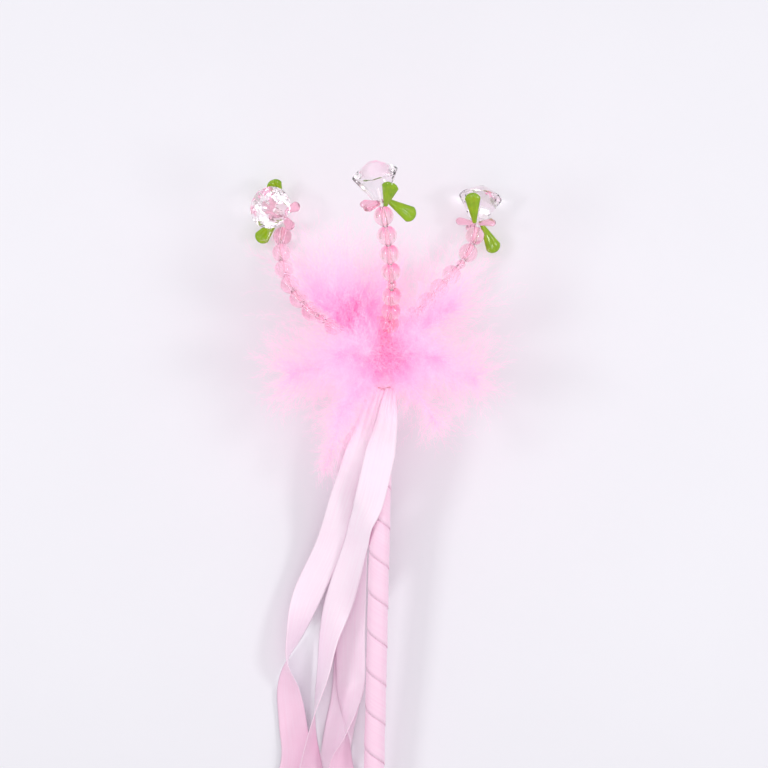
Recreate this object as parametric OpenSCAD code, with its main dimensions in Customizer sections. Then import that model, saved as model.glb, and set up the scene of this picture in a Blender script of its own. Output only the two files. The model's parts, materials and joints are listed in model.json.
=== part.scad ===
// Toy magic wand: a ribbon-wrapped stick with a crown of three beaded wire arms, cut
// crystals on flower tips, a feather puff and four ribbon streamers. It lies on its right crystal,
// the last bead of its left arm and the foot of its stick, with the third arm pointing up.

/* [Stick] */
// Diameter of the wooden dowel
dowel_d = 6.35; // [5:0.05:9]
// Length of the dowel, from its foot to its top inside the feathers
dowel_len = 305; // [260:1:400]
// Length of dowel that stands above the foot bends of the arms
dowel_top = 8; // [4:0.5:20]
// Bare dowel left at the foot, below the wrap
bare_foot = 12; // [8:0.5:30]
// Width of the satin ribbon, in the wrap and in the streamers
ribbon_w = 12.7; // [10:0.1:14]
// Thickness of the satin ribbon
ribbon_t = 0.3; // [0.2:0.05:0.5]
// Gap between neighbouring turns of the wrap, across the ribbon
wrap_gap = 0.6; // [0.5:0.05:1.5]

/* [Binding and tie] */
// Length of the tape binding that holds the arm wires to the dowel
binding_len = 8; // [6:0.5:16]
// Wall of the tape binding
binding_t = 0.8; // [0.5:0.1:2]
// Height of the ribbon band tied round the stick
tie_len = 8; // [6:0.5:12]
// Wall of the tied band
tie_t = 0.9; // [0.6:0.1:2]
// Diameter of the knot at the front of the tie
knot_d = 8.4; // [7:0.1:11]

/* [Arms and beads] */
// Diameter of an arm's wire
wire_d = 1; // [0.6:0.05:1.2]
// Diameter of a round bead
bead_d = 8; // [6:0.1:9]
// Diameter of the small bead on each arm
small_bead_d = 4; // [3:0.1:5]
// Diameter of the hole through a bead
bead_bore = 1.8; // [1.6:0.05:2.2]
// Gap between neighbouring beads along the wire
bead_gap = 0.25; // [0.1:0.05:0.6]
// Beads on each arm, the small one included
bead_count = 8; // [6:1:8]
// Bare wire that every arm has between its foot bend and its first bead
bare_wire = 1; // [1:0.5:8]
// Inside radius of the bend at the foot of an arm
foot_bend = 4; // [3:0.5:6]
// Radius of the bend that leans a crystal outwards
tip_bend = 4; // [3:0.5:8]

/* [Crystals, petals and leaves] */
// Width of a crystal across its girdle
crystal_d = 18.5; // [14:0.1:20]
// Height of a crystal below its girdle
crystal_low = 10; // [7:0.1:12]
// Height of a crystal above its girdle
crystal_high = 5; // [4:0.1:8]
// Width of the flat on top of a crystal
table_d = 4; // [3:0.1:8]
// Width of the flat under a crystal
culet_d = 6.6; // [5:0.1:8]
// Sides round a crystal
crystal_sides = 10; // [6:2:12]
// Depth of the hole for the wire under a crystal
crystal_hole = 6; // [4:0.1:8]
// Length of a petal bead
petal_len = 8.4; // [6:0.1:10]
// Width of a petal bead
petal_w = 4.8; // [4:0.1:5.5]
// Length of a leaf bead
leaf_len = 14; // [10:0.1:16]
// Width of a leaf bead
leaf_w = 7; // [5:0.1:8]
// Thickness of a leaf bead
leaf_t = 3; // [2:0.1:4]

/* [Feathers] */
// Thickness of a plume's vane
plume_t = 0.8; // [0.6:0.1:1.5]

/* [Hidden] */
$fn = 48;

// Clearances, all radial or face to face
wire_clear = 0.1;
wrap_clear = 0.1;
tie_clear = 0.25;
glue_clear = 0.05;
soft_clear = 0.3;

// Radii along the stick, from the inside out
dowel_r = dowel_d / 2;
wire_r = wire_d / 2;
shank_r = dowel_r + wire_clear + wire_r;
binding_in = shank_r + wire_r + wire_clear;
binding_out = binding_in + binding_t;
wrap_in = dowel_r + wrap_clear;
wrap_out = wrap_in + ribbon_t;
tie_in = wrap_out + tie_clear;
tie_out = tie_in + tie_t;

// The score round the dowel: its place below the wrap, its width and its depth
score_below = 2;
score_w = 0.8;
score_deep = 0.3;

// Heights along the stick, from the foot up
hub_z = dowel_len - dowel_top;
bend_z = hub_z - foot_bend;
binding_top = bend_z - 0.5;
binding_low = binding_top - binding_len;
tie_top = binding_low - 1;
tie_low = tie_top - tie_len;
wrap_top = binding_low - soft_clear;

// Pitch of the wrap, from the width of its ribbon laid round the dowel
wrap_step = ribbon_w + wrap_gap;
wrap_round = 2 * PI * (wrap_in + ribbon_t / 2);
wrap_pitch = wrap_step / sqrt(1 - pow(wrap_step / wrap_round, 2));
wrap_rise = wrap_pitch * ribbon_w / wrap_step;
wrap_turns = (wrap_top - bare_foot - wrap_rise) / wrap_pitch;
wrap_rings = 24;

// Arms: name, angle round the stick, heading of the foot run off the stick's axis, length of
// the foot run, heading at the end of the beads, roll of the curve, lean of the tip, roll of
// the lean, which bead is the small one, the turn of the flower about its wire, the fifths of
// a turn from its upper leaf to its lower one, and the further bare wire below its beads
ARMS = [
    ["left", 168.13, 85, 0.5, -5, 32, 110, 80, 7, 186, 2, 10],
    ["center", 279, 55, 2, 8, 20, 0, 90, 5, 276, 1, 6],
    ["right", 30, 46, 42, 13, -24, 1, 60, 3, 180, 2, 0]
];
// Leaves of each arm: the roll of the upper one, and the tilt and the roll of the lower one
LEAVES = [[30, 75, 165], [135, 135, 75], [15, 135, 120]];
ARM_IDS = [0, 1, 2];
BEAD_IDS = [1:bead_count];

// Length of a strand of beads, and of the wire that carries it
strand_len = (bead_count - 1) * bead_d + small_bead_d + bead_count * bead_gap;
function carry_len(a) = strand_len + bare_wire + ARMS[a][11];
wire_sides = 8;
wire_ring_step = 1.5;

// Places along the tip post, from the end of the beads
root_at = 1.25;
upper_leaf_at = 0.9;
crystal_at = 3;
root_r = 1;
root_out = wire_r + soft_clear + root_r;
upper_leaf_out = root_out + 2.1;
lower_leaf_out = root_out + 1.2;

// Feather plumes: name, angle round the stick, height of the root above the hub, heading at the
// root, turn along the plume, length, width and roll of the vane about its quill
PLUMES = [
    ["upper_left", 213, -6, 46, 22, 44, 24, 20],
    ["upper_right", 335, -6, 46, 22, 42, 22, -20],
    ["upper_back", 90, -6, 46, 6, 29, 16, 0],
    ["side_left", 182, -10, 98, 12, 44, 24, 70],
    ["side_right", 358, -10, 98, 12, 44, 24, -70],
    ["front_left", 240, -8.5, 80, 16, 40, 22, 45],
    ["front_right", 306, -8.5, 80, 16, 42, 22, -45],
    ["back_left", 120, -10, 110, 10, 27, 15, 20],
    ["back_right", 60, -10, 110, 10, 27, 15, -20],
    ["lower_left", 222, -11.5, 138, 10, 42, 18, 20],
    ["lower_right", 335, -11.5, 138, 10, 42, 18, -20],
    ["hanging", 182, -12, 152, 18, 64, 9, 80]
];
PLUME_IDS = [0:len(PLUMES) - 1];
plume_rings = 12;

// Streamers, as points along each middle line: right of the stick, below the tie, height, share of
// the stick's own height there that is added to it, and roll, which is 0 where the ribbon lies flat
STREAMERS = [
    ["a", [[-1.9, 0.8, 5.8, 1, 18], [-5.8, 14, 3.4, 1, 28], [-9, 28, 1.6, 1, 15], [-15, 48, 0.6, 0.8, 0],
           [-21, 69, 1.2, 0.5, 0], [-30, 90, 2, 0.3, -12], [-35, 107, 7.5, 0, -55], [-38, 119, 7.5, 0, -90],
           [-37.5, 132, 6, 0, -140], [-35.5, 147, 3.5, 0, -165], [-34, 164, 2.2, 0, -180],
           [-40, 188, 1.6, 0, -180], [-44, 224, 1.2, 0, -180]]],
    ["b", [[3.5, 0.8, 5, 1, -35], [2, 14, 7.2, 1, 0], [-0.5, 28, 5.6, 1, 5], [-4.7, 48, 4.6, 1, 12],
           [-8, 58, 1.4, 1, 38], [-10.2, 69, 2.2, 0.75, 36], [-15.5, 89, 1, 0.5, 15], [-20.5, 107, 8, 0, 45],
           [-23, 124, 8.5, 0, 66], [-26, 140, 8.5, 0, 86], [-27.5, 154, 8, 0, 110],
           [-27.5, 168, 5.5, 0, 145], [-27, 184, 3, 0, 172], [-27.5, 210, 2.2, 0, 180]]],
    ["c", [[-6, 0.8, 1, 1, 80], [-8.4, 14, -2.4, 1, 62], [-10.5, 28, -2.8, 1, 10], [-11, 48, 1, 0.6, 0],
           [-11.5, 69, 1, 0.3, 0], [-11.5, 90, 3, 0.1, 0], [-11.5, 111, 3.8, 0, 0], [-11, 128, 4.2, 0, 15],
           [-11.5, 141, 7.4, 0, 60], [-12.8, 151, 8.4, 0, 95], [-14.5, 163, 6.4, 0, 140],
           [-13.5, 182, 3, 0, 180], [-13, 216, 2.2, 0, 180]]],
    ["d", [[-4.2, 0.8, -4.4, 1, 136], [-7.4, 14, -6.6, 1, 85], [-12, 28, -8, 1, 20],
           [-13.5, 48, 0.8, 0.4, 0], [-13, 69, 1.2, 0.2, 0], [-12.5, 89, 0.8, 0.1, 0], [-12, 107, 1, 0, 0],
           [-12, 122, 0.9, 0, 0], [-13, 136, 0.8, 0, 0], [-15.5, 150, 0.8, 0, 0], [-18, 168, 0.8, 0, 0],
           [-20, 190, 0.8, 0, 0], [-21, 216, 0.8, 0, 0]]]
];
STREAMER_IDS = [0:len(STREAMERS) - 1];
streamer_steps = 4;
// Share of its width to which a streamer is gathered at the tie, and points until it is flat
gathered = 0.4;
gathered_span = 2;

// Colours of the materials
PINK = [0.98, 0.72, 0.85];
SATIN = [0.98, 0.84, 0.93];
PLUME = [0.97, 0.66, 0.9];
CLEAR = [0.95, 0.9, 0.94, 0.6];
GREEN = [0.5, 0.72, 0.1];
WOOD = [0.85, 0.72, 0.55];
STEEL = [0.75, 0.75, 0.77];

function bead_node(a, i) = str("bead_", ARMS[a][0], "_", i);
function plume_node(p) = str("feather_", PLUMES[p][0]);
function streamer_node(s) = str("streamer_", STREAMERS[s][0]);

// Frames as 4 by 4 matrices. Each has +Z along the wire and +X away from the stick.
function shift(v) = [[1, 0, 0, v[0]], [0, 1, 0, v[1]], [0, 0, 1, v[2]], [0, 0, 0, 1]];
function turn_y(t) = [[cos(t), 0, sin(t), 0], [0, 1, 0, 0], [-sin(t), 0, cos(t), 0], [0, 0, 0, 1]];
function turn_z(t) = [[cos(t), -sin(t), 0, 0], [sin(t), cos(t), 0, 0], [0, 0, 1, 0], [0, 0, 0, 1]];
function place(frame, v) = [for (k = [0:2]) frame[k] * [v[0], v[1], v[2], 1]];
function radians(t) = t * PI / 180;

// A wire path is a list of segments, each with its length, its turn and its roll.
function run(seg, d) =
    let (t = seg[1] * d / seg[0])
    seg[1] == 0 ? shift([0, 0, d]) :
    let (r = seg[0] / radians(seg[1]))
    shift([r * (1 - cos(t)), 0, r * sin(t)]) * turn_y(t);
function along(path, d, k = 0) =
    let (seg = path[k], start = turn_z(seg[2]))
    d <= seg[0] || k == len(path) - 1 ? start * run(seg, d) :
    start * run(seg, seg[0]) * along(path, d - seg[0], k + 1);

function foot_frame(a) = turn_z(ARMS[a][1]) * shift([shank_r, 0, binding_low]);
function arm_path(a) =
    let (arm = ARMS[a])
    [
        [bend_z - binding_low, 0, 0],
        [foot_bend * radians(arm[2]), arm[2], 0],
        [arm[3], 0, 0],
        [carry_len(a) - arm[3], arm[4] - arm[2], arm[5]],
        [tip_bend * radians(max(arm[6], 1)), arm[6], arm[7]],
        [crystal_at + crystal_hole - glue_clear, 0, 0]
    ];
function beads_end(a) =
    let (path = arm_path(a))
    path[0][0] + path[1][0] + carry_len(a);
function post_start(a) = beads_end(a) + arm_path(a)[4][0];
function arm_frame(a, d) = foot_frame(a) * along(arm_path(a), d);
function post_frame(a, d) = arm_frame(a, post_start(a) + d) * turn_z(ARMS[a][9]);

function bead_size(a, i) = i == min(ARMS[a][8], bead_count) ? small_bead_d : bead_d;
function bead_down(a, i) =
    i == 1 ? bead_gap + bead_size(a, 1) / 2 :
    bead_down(a, i - 1) + (bead_size(a, i - 1) + bead_size(a, i)) / 2 + bead_gap;
function bead_frame(a, i) = arm_frame(a, beads_end(a) - bead_down(a, i));

// The wand lies on its lowest crystal corner or bead and on the lower rim of the dowel's foot.
function crystal_corners(a) =
    let (frame = post_frame(a, crystal_at))
    [for (k = [0:crystal_sides - 1])
        let (t = k * 360 / crystal_sides)
        place(frame, [crystal_d / 2 * cos(t), crystal_d / 2 * sin(t), crystal_low])];
function bead_angle(a, i) =
    let (p = place(bead_frame(a, i), [0, 0, 0]), span = [p[1] - dowel_r, p[2]])
    atan(span[0] / span[1]) + asin(bead_size(a, i) / 2 / norm(span));
lie_angle = max(concat(
    [for (a = ARM_IDS, p = crystal_corners(a)) atan((p[1] - dowel_r) / p[2])],
    [for (a = ARM_IDS, i = BEAD_IDS) bead_angle(a, i)]));
floor_z = -dowel_r * cos(lie_angle);

module lay() {
    rotate([lie_angle - 90, 0, 0]) children();
}

// A solid through rings of equally many corners, closed at both ends. The faces of its far side
// are split along the same diagonals as those of its near side, so that a thin one keeps its wall.
module loft(rings) {
    count = len(rings);
    n = len(rings[0]);
    points = [for (ring = rings, p = ring) p];
    sides = [for (k = [0:count - 2], c = [0:n - 1], half = [0, 1])
        let (a = n * k + c, b = n * k + (c + 1) % n, near = c < n / 2)
        half == 0 ? (near ? [a, a + n, b] : [a, b + n, b]) : (near ? [b, a + n, b + n] : [a, a + n, b + n])];
    last = n * (count - 1);
    ends = [for (c = [1:n - 2], far = [0, 1])
        far == 0 ? [0, c, c + 1] : [last, last + c + 1, last + c]];
    polyhedron(points, concat(sides, ends), convexity = 10);
}

// The dowel is scored round, a little below the wrap. Its foot up to the score fits a socket.
module dowel() {
    color(WOOD) lay() difference() {
        cylinder(d = dowel_d, h = dowel_len);
        translate([0, 0, bare_foot - score_below]) difference() {
            cylinder(d = dowel_d + 1, h = score_w);
            translate([0, 0, -1]) cylinder(d = dowel_d - 2 * score_deep, h = score_w + 2);
        }
    }
}

// Least gap between the turns of the wrap, measured between points on facing edges
function wrap_point(k, r, z) =
    let (t = -k * 360 / wrap_rings)
    [r * cos(t), r * sin(t), bare_foot + wrap_pitch * k / wrap_rings + z];
wrap_edge = wrap_point(wrap_rings, wrap_in, 0);
wrap_least = min([for (k = [0:wrap_rings]) norm(wrap_point(k, wrap_in, wrap_rise) - wrap_edge)]);
echo(wrap_turns = wrap_turns, wrap_least_gap = wrap_least);

module stick_wrap() {
    count = floor(wrap_turns * wrap_rings);
    color(SATIN) lay() loft([for (k = [0:count])
        [wrap_point(k, wrap_in, 0), wrap_point(k, wrap_out, 0),
         wrap_point(k, wrap_out, wrap_rise), wrap_point(k, wrap_in, wrap_rise)]]);
}

module binding() {
    color(PLUME) lay() translate([0, 0, binding_low]) difference() {
        cylinder(r = binding_out, h = binding_len);
        translate([0, 0, -1]) cylinder(r = binding_in, h = binding_len + 2);
    }
}

module ribbon_tie() {
    knot_z = (tie_low + tie_top) / 2;
    color(SATIN) lay() difference() {
        union() {
            translate([0, 0, tie_low]) cylinder(r = tie_out, h = tie_len);
            translate([0, -tie_out, knot_z]) sphere(d = knot_d);
        }
        translate([0, 0, tie_low - knot_d]) cylinder(r = tie_in, h = tie_len + 2 * knot_d);
    }
}

module arm_wire(a) {
    path_len = post_start(a) + crystal_at + crystal_hole - glue_clear;
    count = ceil(path_len / wire_ring_step);
    color(STEEL) lay() loft([for (k = [0:count])
        let (frame = arm_frame(a, path_len * k / count))
        [for (c = [0:wire_sides - 1])
            let (t = c * 360 / wire_sides)
            place(frame, wire_r * [cos(t), sin(t), 0])]]);
}

module bead(a, i) {
    size = bead_size(a, i);
    color(PINK) lay() multmatrix(bead_frame(a, i)) difference() {
        sphere(d = size);
        cylinder(d = bead_bore, h = size + 1, center = true);
    }
}

// Half the outline of a drop that stands on its small round end
function drop_outline(length, width) =
    let (tip = length - width / 2, lean = acos((width / 2 - root_r) / tip))
    concat(
        [[0, -root_r]],
        [for (k = [1:6]) let (t = -90 + k * (90 + 90 - lean) / 6) root_r * [cos(t), sin(t)]],
        [for (k = [0:10]) let (t = 90 - lean + k * lean / 10)
            [width / 2 * cos(t), tip + width / 2 * sin(t)]]
    );

module drop(length, width) {
    rotate_extrude() polygon(drop_outline(length - root_r, width));
}

// Places a drop on the tip post, by its height on the post, its angle round it, the distance of
// its root and its tilt
module on_post(a, at, angle, out, tilt) {
    lay() multmatrix(post_frame(a, at)) rotate([0, 0, angle]) translate([out, 0, 0])
        rotate([0, tilt, 0]) children();
}

fifth = 360 / 5;
petal_tilt = 90;
upper_leaf_tilt = 42;

module petals(a) {
    color(PINK) for (k = [1:4]) if (k != ARMS[a][10])
        on_post(a, root_at, k * fifth, root_out, petal_tilt) drop(petal_len, petal_w);
}

module leaf(a, upper) {
    at = upper ? upper_leaf_at : root_at;
    angle = upper ? 0 : ARMS[a][10] * fifth;
    out = upper ? upper_leaf_out : lower_leaf_out;
    tilt = upper ? upper_leaf_tilt : LEAVES[a][1];
    roll = upper ? LEAVES[a][0] : LEAVES[a][2];
    color(GREEN) on_post(a, at, angle, out, tilt) rotate([0, 0, roll]) intersection() {
        drop(leaf_len, leaf_w);
        translate([-leaf_t / 2, -leaf_w, -leaf_w]) cube([leaf_t, 2 * leaf_w, leaf_len + 2 * leaf_w]);
    }
}

module crystal(a) {
    color(CLEAR) lay() multmatrix(post_frame(a, crystal_at)) difference() {
        rotate_extrude($fn = crystal_sides) polygon([
            [0, 0], [culet_d / 2, 0], [crystal_d / 2, crystal_low],
            [table_d / 2, crystal_low + crystal_high], [0, crystal_low + crystal_high]]);
        translate([0, 0, -1]) cylinder(r = wire_r + glue_clear, h = crystal_hole + 1);
    }
}

// A plume is a thin vane about a quill that leaves the binding and turns as it goes.
function plume_ring(plume, u) =
    let (
        start = plume[3],
        heading = start + plume[4] * u,
        reach = plume[5] / radians(plume[4]),
        middle = [
            binding_out + soft_clear + plume_t / 2 + reach * (cos(start) - cos(heading)),
            0,
            hub_z + plume[2] + reach * (sin(heading) - sin(start))],
        half_w = max(plume_t / 2, plume[6] / 2 * sin(180 * pow(u, 1.2))),
        side = [0, 1, 0],
        face = [-cos(heading), 0, sin(heading)],
        across = half_w * (side * cos(plume[7]) + face * sin(plume[7])),
        up = plume_t / 2 * (face * cos(plume[7]) - side * sin(plume[7]))
    )
    [middle - across - up, middle + across - up, middle + across + up, middle - across + up];

module feather(p) {
    plume = PLUMES[p];
    color(PLUME) lay() rotate([0, 0, plume[1]])
        loft([for (k = [0:plume_rings]) plume_ring(plume, k / plume_rings)]);
}

// Streamers run on smooth curves through their points.
function spline(points, k, u) =
    let (
        last = len(points) - 1,
        p0 = points[max(k - 1, 0)], p1 = points[k],
        p2 = points[k + 1], p3 = points[min(k + 2, last)]
    )
    0.5 * (2 * p1 + (p2 - p0) * u + (2 * p0 - 5 * p1 + 4 * p2 - p3) * u * u
        + (3 * p1 - p0 - 3 * p2 + p3) * u * u * u);
function unit(v) = v / norm(v);
// Height of the stick's axis above the floor, by the distance below the tie
function axis_height(below) = (tie_low - below) * sin(lie_angle) - floor_z;
function streamer_point(p) =
    [p[0], (tie_low - p[1]) * cos(lie_angle), floor_z + p[2] + p[3] * axis_height(p[1]), p[4]];
function streamer_ring(here, step, width) =
    let (
        middle = [here[0], here[1], here[2]],
        forward = unit([step[0], step[1], step[2]]),
        level = unit(cross([0, 0, 1], forward)),
        above = cross(forward, level),
        across = width / 2 * (level * cos(here[3]) + above * sin(here[3])),
        up = ribbon_t / 2 * (above * cos(here[3]) - level * sin(here[3]))
    )
    [middle - across - up, middle + across - up, middle + across + up, middle - across + up];

module streamer(s) {
    points = [for (p = STREAMERS[s][1]) streamer_point(p)];
    spans = len(points) - 1;
    small = 0.01;
    color(SATIN) loft([for (j = [0:spans * streamer_steps])
        let (
            at = j / streamer_steps,
            k = min(floor(at), spans - 1),
            u = at - k,
            step = spline(points, k, min(u + small, 1)) - spline(points, k, max(u - small, 0)),
            width = ribbon_w * min(1, gathered + (1 - gathered) * at / gathered_span)
        )
        streamer_ring(spline(points, k, u), step, width)]);
}

dowel();
stick_wrap();
binding();
ribbon_tie();
for (a = ARM_IDS) {
    arm_wire(a);
    petals(a);
    leaf(a, true);
    leaf(a, false);
    crystal(a);
    for (i = BEAD_IDS) bead(a, i);
}
for (p = PLUME_IDS) feather(p);
for (s = STREAMER_IDS) streamer(s);
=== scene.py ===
"""Toy magic wand: a ribbon-wrapped stick with a crown of three beaded arms, feathers and streamers.

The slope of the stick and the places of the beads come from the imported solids. The other sizes are in the
dataclasses below, in millimetres: those of the solids, and those of the down and the slack of the ribbon, which
only this script shows. Meshes are in metres.
"""

import json
import logging
import math
from dataclasses import dataclass, field
from enum import Enum
from typing import Any, Optional, Sequence

import bmesh
import bpy
import numpy as np
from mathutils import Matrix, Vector


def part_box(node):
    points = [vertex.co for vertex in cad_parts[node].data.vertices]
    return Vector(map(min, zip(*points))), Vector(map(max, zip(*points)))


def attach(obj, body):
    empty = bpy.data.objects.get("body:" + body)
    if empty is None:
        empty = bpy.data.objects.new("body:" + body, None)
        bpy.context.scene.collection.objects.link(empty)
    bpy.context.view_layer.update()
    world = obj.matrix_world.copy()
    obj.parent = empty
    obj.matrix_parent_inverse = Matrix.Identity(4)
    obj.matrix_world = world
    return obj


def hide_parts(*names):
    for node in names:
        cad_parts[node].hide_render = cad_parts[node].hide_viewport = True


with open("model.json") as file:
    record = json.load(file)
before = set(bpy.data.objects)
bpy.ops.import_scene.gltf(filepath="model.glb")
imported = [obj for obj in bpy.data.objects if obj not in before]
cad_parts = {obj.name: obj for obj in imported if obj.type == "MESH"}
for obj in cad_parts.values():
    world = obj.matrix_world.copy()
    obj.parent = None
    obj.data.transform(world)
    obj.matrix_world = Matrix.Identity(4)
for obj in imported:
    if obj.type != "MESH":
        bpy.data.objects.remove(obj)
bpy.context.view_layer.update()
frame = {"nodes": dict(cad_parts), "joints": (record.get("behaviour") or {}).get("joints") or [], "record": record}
LOG = logging.getLogger("wand")
MM = 0.001
TURN = 2 * math.pi
ROOT = "wand"
UV_NAME = "flat"

Node, NodeTree, Socket = bpy.types.Node, bpy.types.NodeTree, bpy.types.NodeSocket
Material, Piece = bpy.types.Material, bpy.types.Object
Color = tuple[float, float, float, float]
Triple = tuple[float, float, float]
Pair = tuple[float, float]
Shape = tuple[np.ndarray, list[list[int]]]


class Arm(Enum):
    """The three arms of the crown."""

    LEFT = "left"
    CENTER = "center"
    RIGHT = "right"


class LeafPlace(Enum):
    """Where a leaf bead stands on its tip."""

    UPPER = "upper"
    LOWER = "lower"


def srgb(red: int, green: int, blue: int) -> Color:
    """Turns a colour as seen on screen, from 0 to 255, into a linear one with an alpha of 1."""
    shares = [value / 255 for value in (red, green, blue)]
    return *(v / 12.92 if v <= 0.04045 else ((v + 0.055) / 1.055) ** 2.4 for v in shares), 1.0


class NodePen:
    """Adds nodes to one node tree and links them."""

    def __init__(self, tree: NodeTree) -> None:
        """Keeps the tree."""
        self.tree = tree

    def add(self, kind: str, inputs: Optional[dict[Any, Any]] = None, **settings: Any) -> Node:
        """Adds a node.

        Args:
            kind: The node's type.
            inputs: Values or output sockets for its inputs, by name or number.
            **settings: Properties of the node itself.

        Returns:
            The node.
        """
        node = self.tree.nodes.new(kind)
        for name, value in settings.items():
            setattr(node, name, value)
        self.fill(node, inputs or {})
        return node

    def fill(self, node: Node, inputs: dict[Any, Any]) -> None:
        """Feeds inputs of a node, each by its name or number."""
        for key, value in inputs.items():
            self.feed(node.inputs[key], value)

    def feed(self, socket: Socket, value: Any) -> None:
        """Links an output to a socket, or sets the socket's own value."""
        if isinstance(value, Socket):
            self.tree.links.new(value, socket)
        else:
            socket.default_value = value

    def math(self, operation: str, first: Any, second: Any = 0.0) -> Socket:
        """Adds a Math node and returns its result."""
        return self.add("ShaderNodeMath", {0: first, 1: second}, operation=operation).outputs[0]

    def blend(self, share: Any, first: Any, second: Any) -> Socket:
        """Mixes two colours and returns the result."""
        return self.add("ShaderNodeMix", {0: share, 6: first, 7: second}, data_type="RGBA").outputs[2]

    def between(self, share: Any, low: float, high: float) -> Socket:
        """Spreads a share from 0 to 1 over a range and returns the result."""
        return self.add("ShaderNodeMapRange", {"Value": share, "To Min": low, "To Max": high}).outputs[0]


def shader_group(name: str, takes: dict[str, str], gives: dict[str, str]) -> tuple[NodePen, Any, Any]:
    """Starts a shader node group.

    Args:
        name: The group's name.
        takes: Socket types of its inputs, by name.
        gives: Socket types of its outputs, by name.

    Returns:
        A pen for the group, its input node and its output node.
    """
    tree = bpy.data.node_groups.new(name, "ShaderNodeTree")
    for side, sockets in (("INPUT", takes), ("OUTPUT", gives)):
        for label, kind in sockets.items():
            tree.interface.new_socket(label, in_out=side, socket_type=kind)
    pen = NodePen(tree)
    return pen, pen.add("NodeGroupInput"), pen.add("NodeGroupOutput")


class Effects:
    """Shader effects that several finishes share."""

    VALUE, VECTOR = "NodeSocketFloat", "NodeSocketVector"
    STREAKS, CREASES = (1400.0, 30.0, 1.0), (90.0, 120.0, 1.0)
    WEFT_HEIGHT, THREAD_HEIGHT = 0.4, 0.05
    # The crease share of the tone lightens the tops of the creases and darkens their hollows: painted shade.
    STREAK_TONE, CREASE_TONE = 0.7, 0.3

    def __init__(self) -> None:
        """Builds each effect once."""
        self.weave = self._weave()
        self.mottle = self._mottle()

    def _weave(self) -> NodeTree:
        """Builds the satin weave: long floats along the ribbon, soft streaks of tone, painted shade in crease
        hollows.

        Returns:
            A group from a flat place in metres to a height and a tone.
        """
        pen, start, end = shader_group("satin_weave", {"Flat": self.VECTOR, "Threads": self.VALUE},
                                       {"Height": self.VALUE, "Tone": self.VALUE})
        flat, threads = start.outputs["Flat"], start.outputs["Threads"]

        def noise(scale: Triple, detail: float) -> Socket:
            """Adds noise that is stretched over the ribbon."""
            place = pen.add("ShaderNodeMapping", {"Vector": flat, "Scale": scale}).outputs[0]
            return pen.add("ShaderNodeTexNoise", {"Vector": place, "Scale": 1.0, "Detail": detail}).outputs[0]

        place = pen.add("ShaderNodeSeparateXYZ", {"Vector": flat})
        across = pen.math("MULTIPLY", place.outputs["X"], threads)
        along = pen.math("MULTIPLY", place.outputs["Y"], threads)
        warp = pen.math("SINE", pen.math("MULTIPLY", across, TURN))
        weft = pen.math("SINE", pen.math("MULTIPLY", pen.math("ADD", along, across), TURN / 8))
        tone, rumple = noise(self.STREAKS, 3.0), noise(self.CREASES, 2.0)
        relief = pen.math("ADD", warp, pen.math("MULTIPLY", weft, self.WEFT_HEIGHT))
        pen.fill(end, {
            "Height": pen.math("ADD", pen.math("MULTIPLY", relief, self.THREAD_HEIGHT), rumple),
            "Tone": pen.math("ADD", pen.math("MULTIPLY", tone, self.STREAK_TONE),
                             pen.math("MULTIPLY", rumple, self.CREASE_TONE))})
        return pen.tree

    def _mottle(self) -> NodeTree:
        """Builds the soft unevenness of acrylic, down, wire, wood and paper.

        Returns:
            A group from a place to a tone.
        """
        pen, start, end = shader_group("mottle", {"Place": self.VECTOR, "Scale": self.VALUE}, {"Tone": self.VALUE})
        noise = pen.add("ShaderNodeTexNoise", {
            "Vector": start.outputs["Place"], "Scale": start.outputs["Scale"], "Detail": 4.0, "Roughness": 0.55})
        spread = pen.add("ShaderNodeMapRange", {"Value": noise.outputs[0], "From Min": 0.3, "From Max": 0.7})
        pen.fill(end, {"Tone": spread.outputs[0]})
        return pen.tree

    def mottled(self, pen: NodePen, scale: float, stretch: Triple = (1.0, 1.0, 1.0)) -> Socket:
        """Lays the mottle over a piece.

        Args:
            pen: A pen for the material's nodes.
            scale: How fine the mottle is.
            stretch: How much finer it is along each axis.

        Returns:
            The tone.
        """
        place = pen.add("ShaderNodeTexCoord").outputs["Object"]
        grain = pen.add("ShaderNodeMapping", {"Vector": place, "Scale": stretch}).outputs[0]
        return pen.add("ShaderNodeGroup", {"Place": grain, "Scale": scale}, node_tree=self.mottle).outputs["Tone"]


@dataclass(frozen=True)
class Finish:
    """What every finish has: a name, and a way to make its material."""

    name: str

    def make(self, effects: Effects) -> Material:
        """Makes the material.

        Args:
            effects: The shared shader effects.

        Returns:
            The material.
        """
        material = bpy.data.materials.new(self.name)
        material.use_nodes = True
        pen = NodePen(material.node_tree)
        pen.fill(pen.tree.nodes["Principled BSDF"], self.inputs(pen, effects))
        return material

    def inputs(self, pen: NodePen, effects: Effects) -> dict[str, Any]:
        """Adds the finish's nodes.

        Args:
            pen: A pen for the material's nodes.
            effects: The shared shader effects.

        Returns:
            What feeds each input of the material's Principled shader.
        """
        raise NotImplementedError


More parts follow.
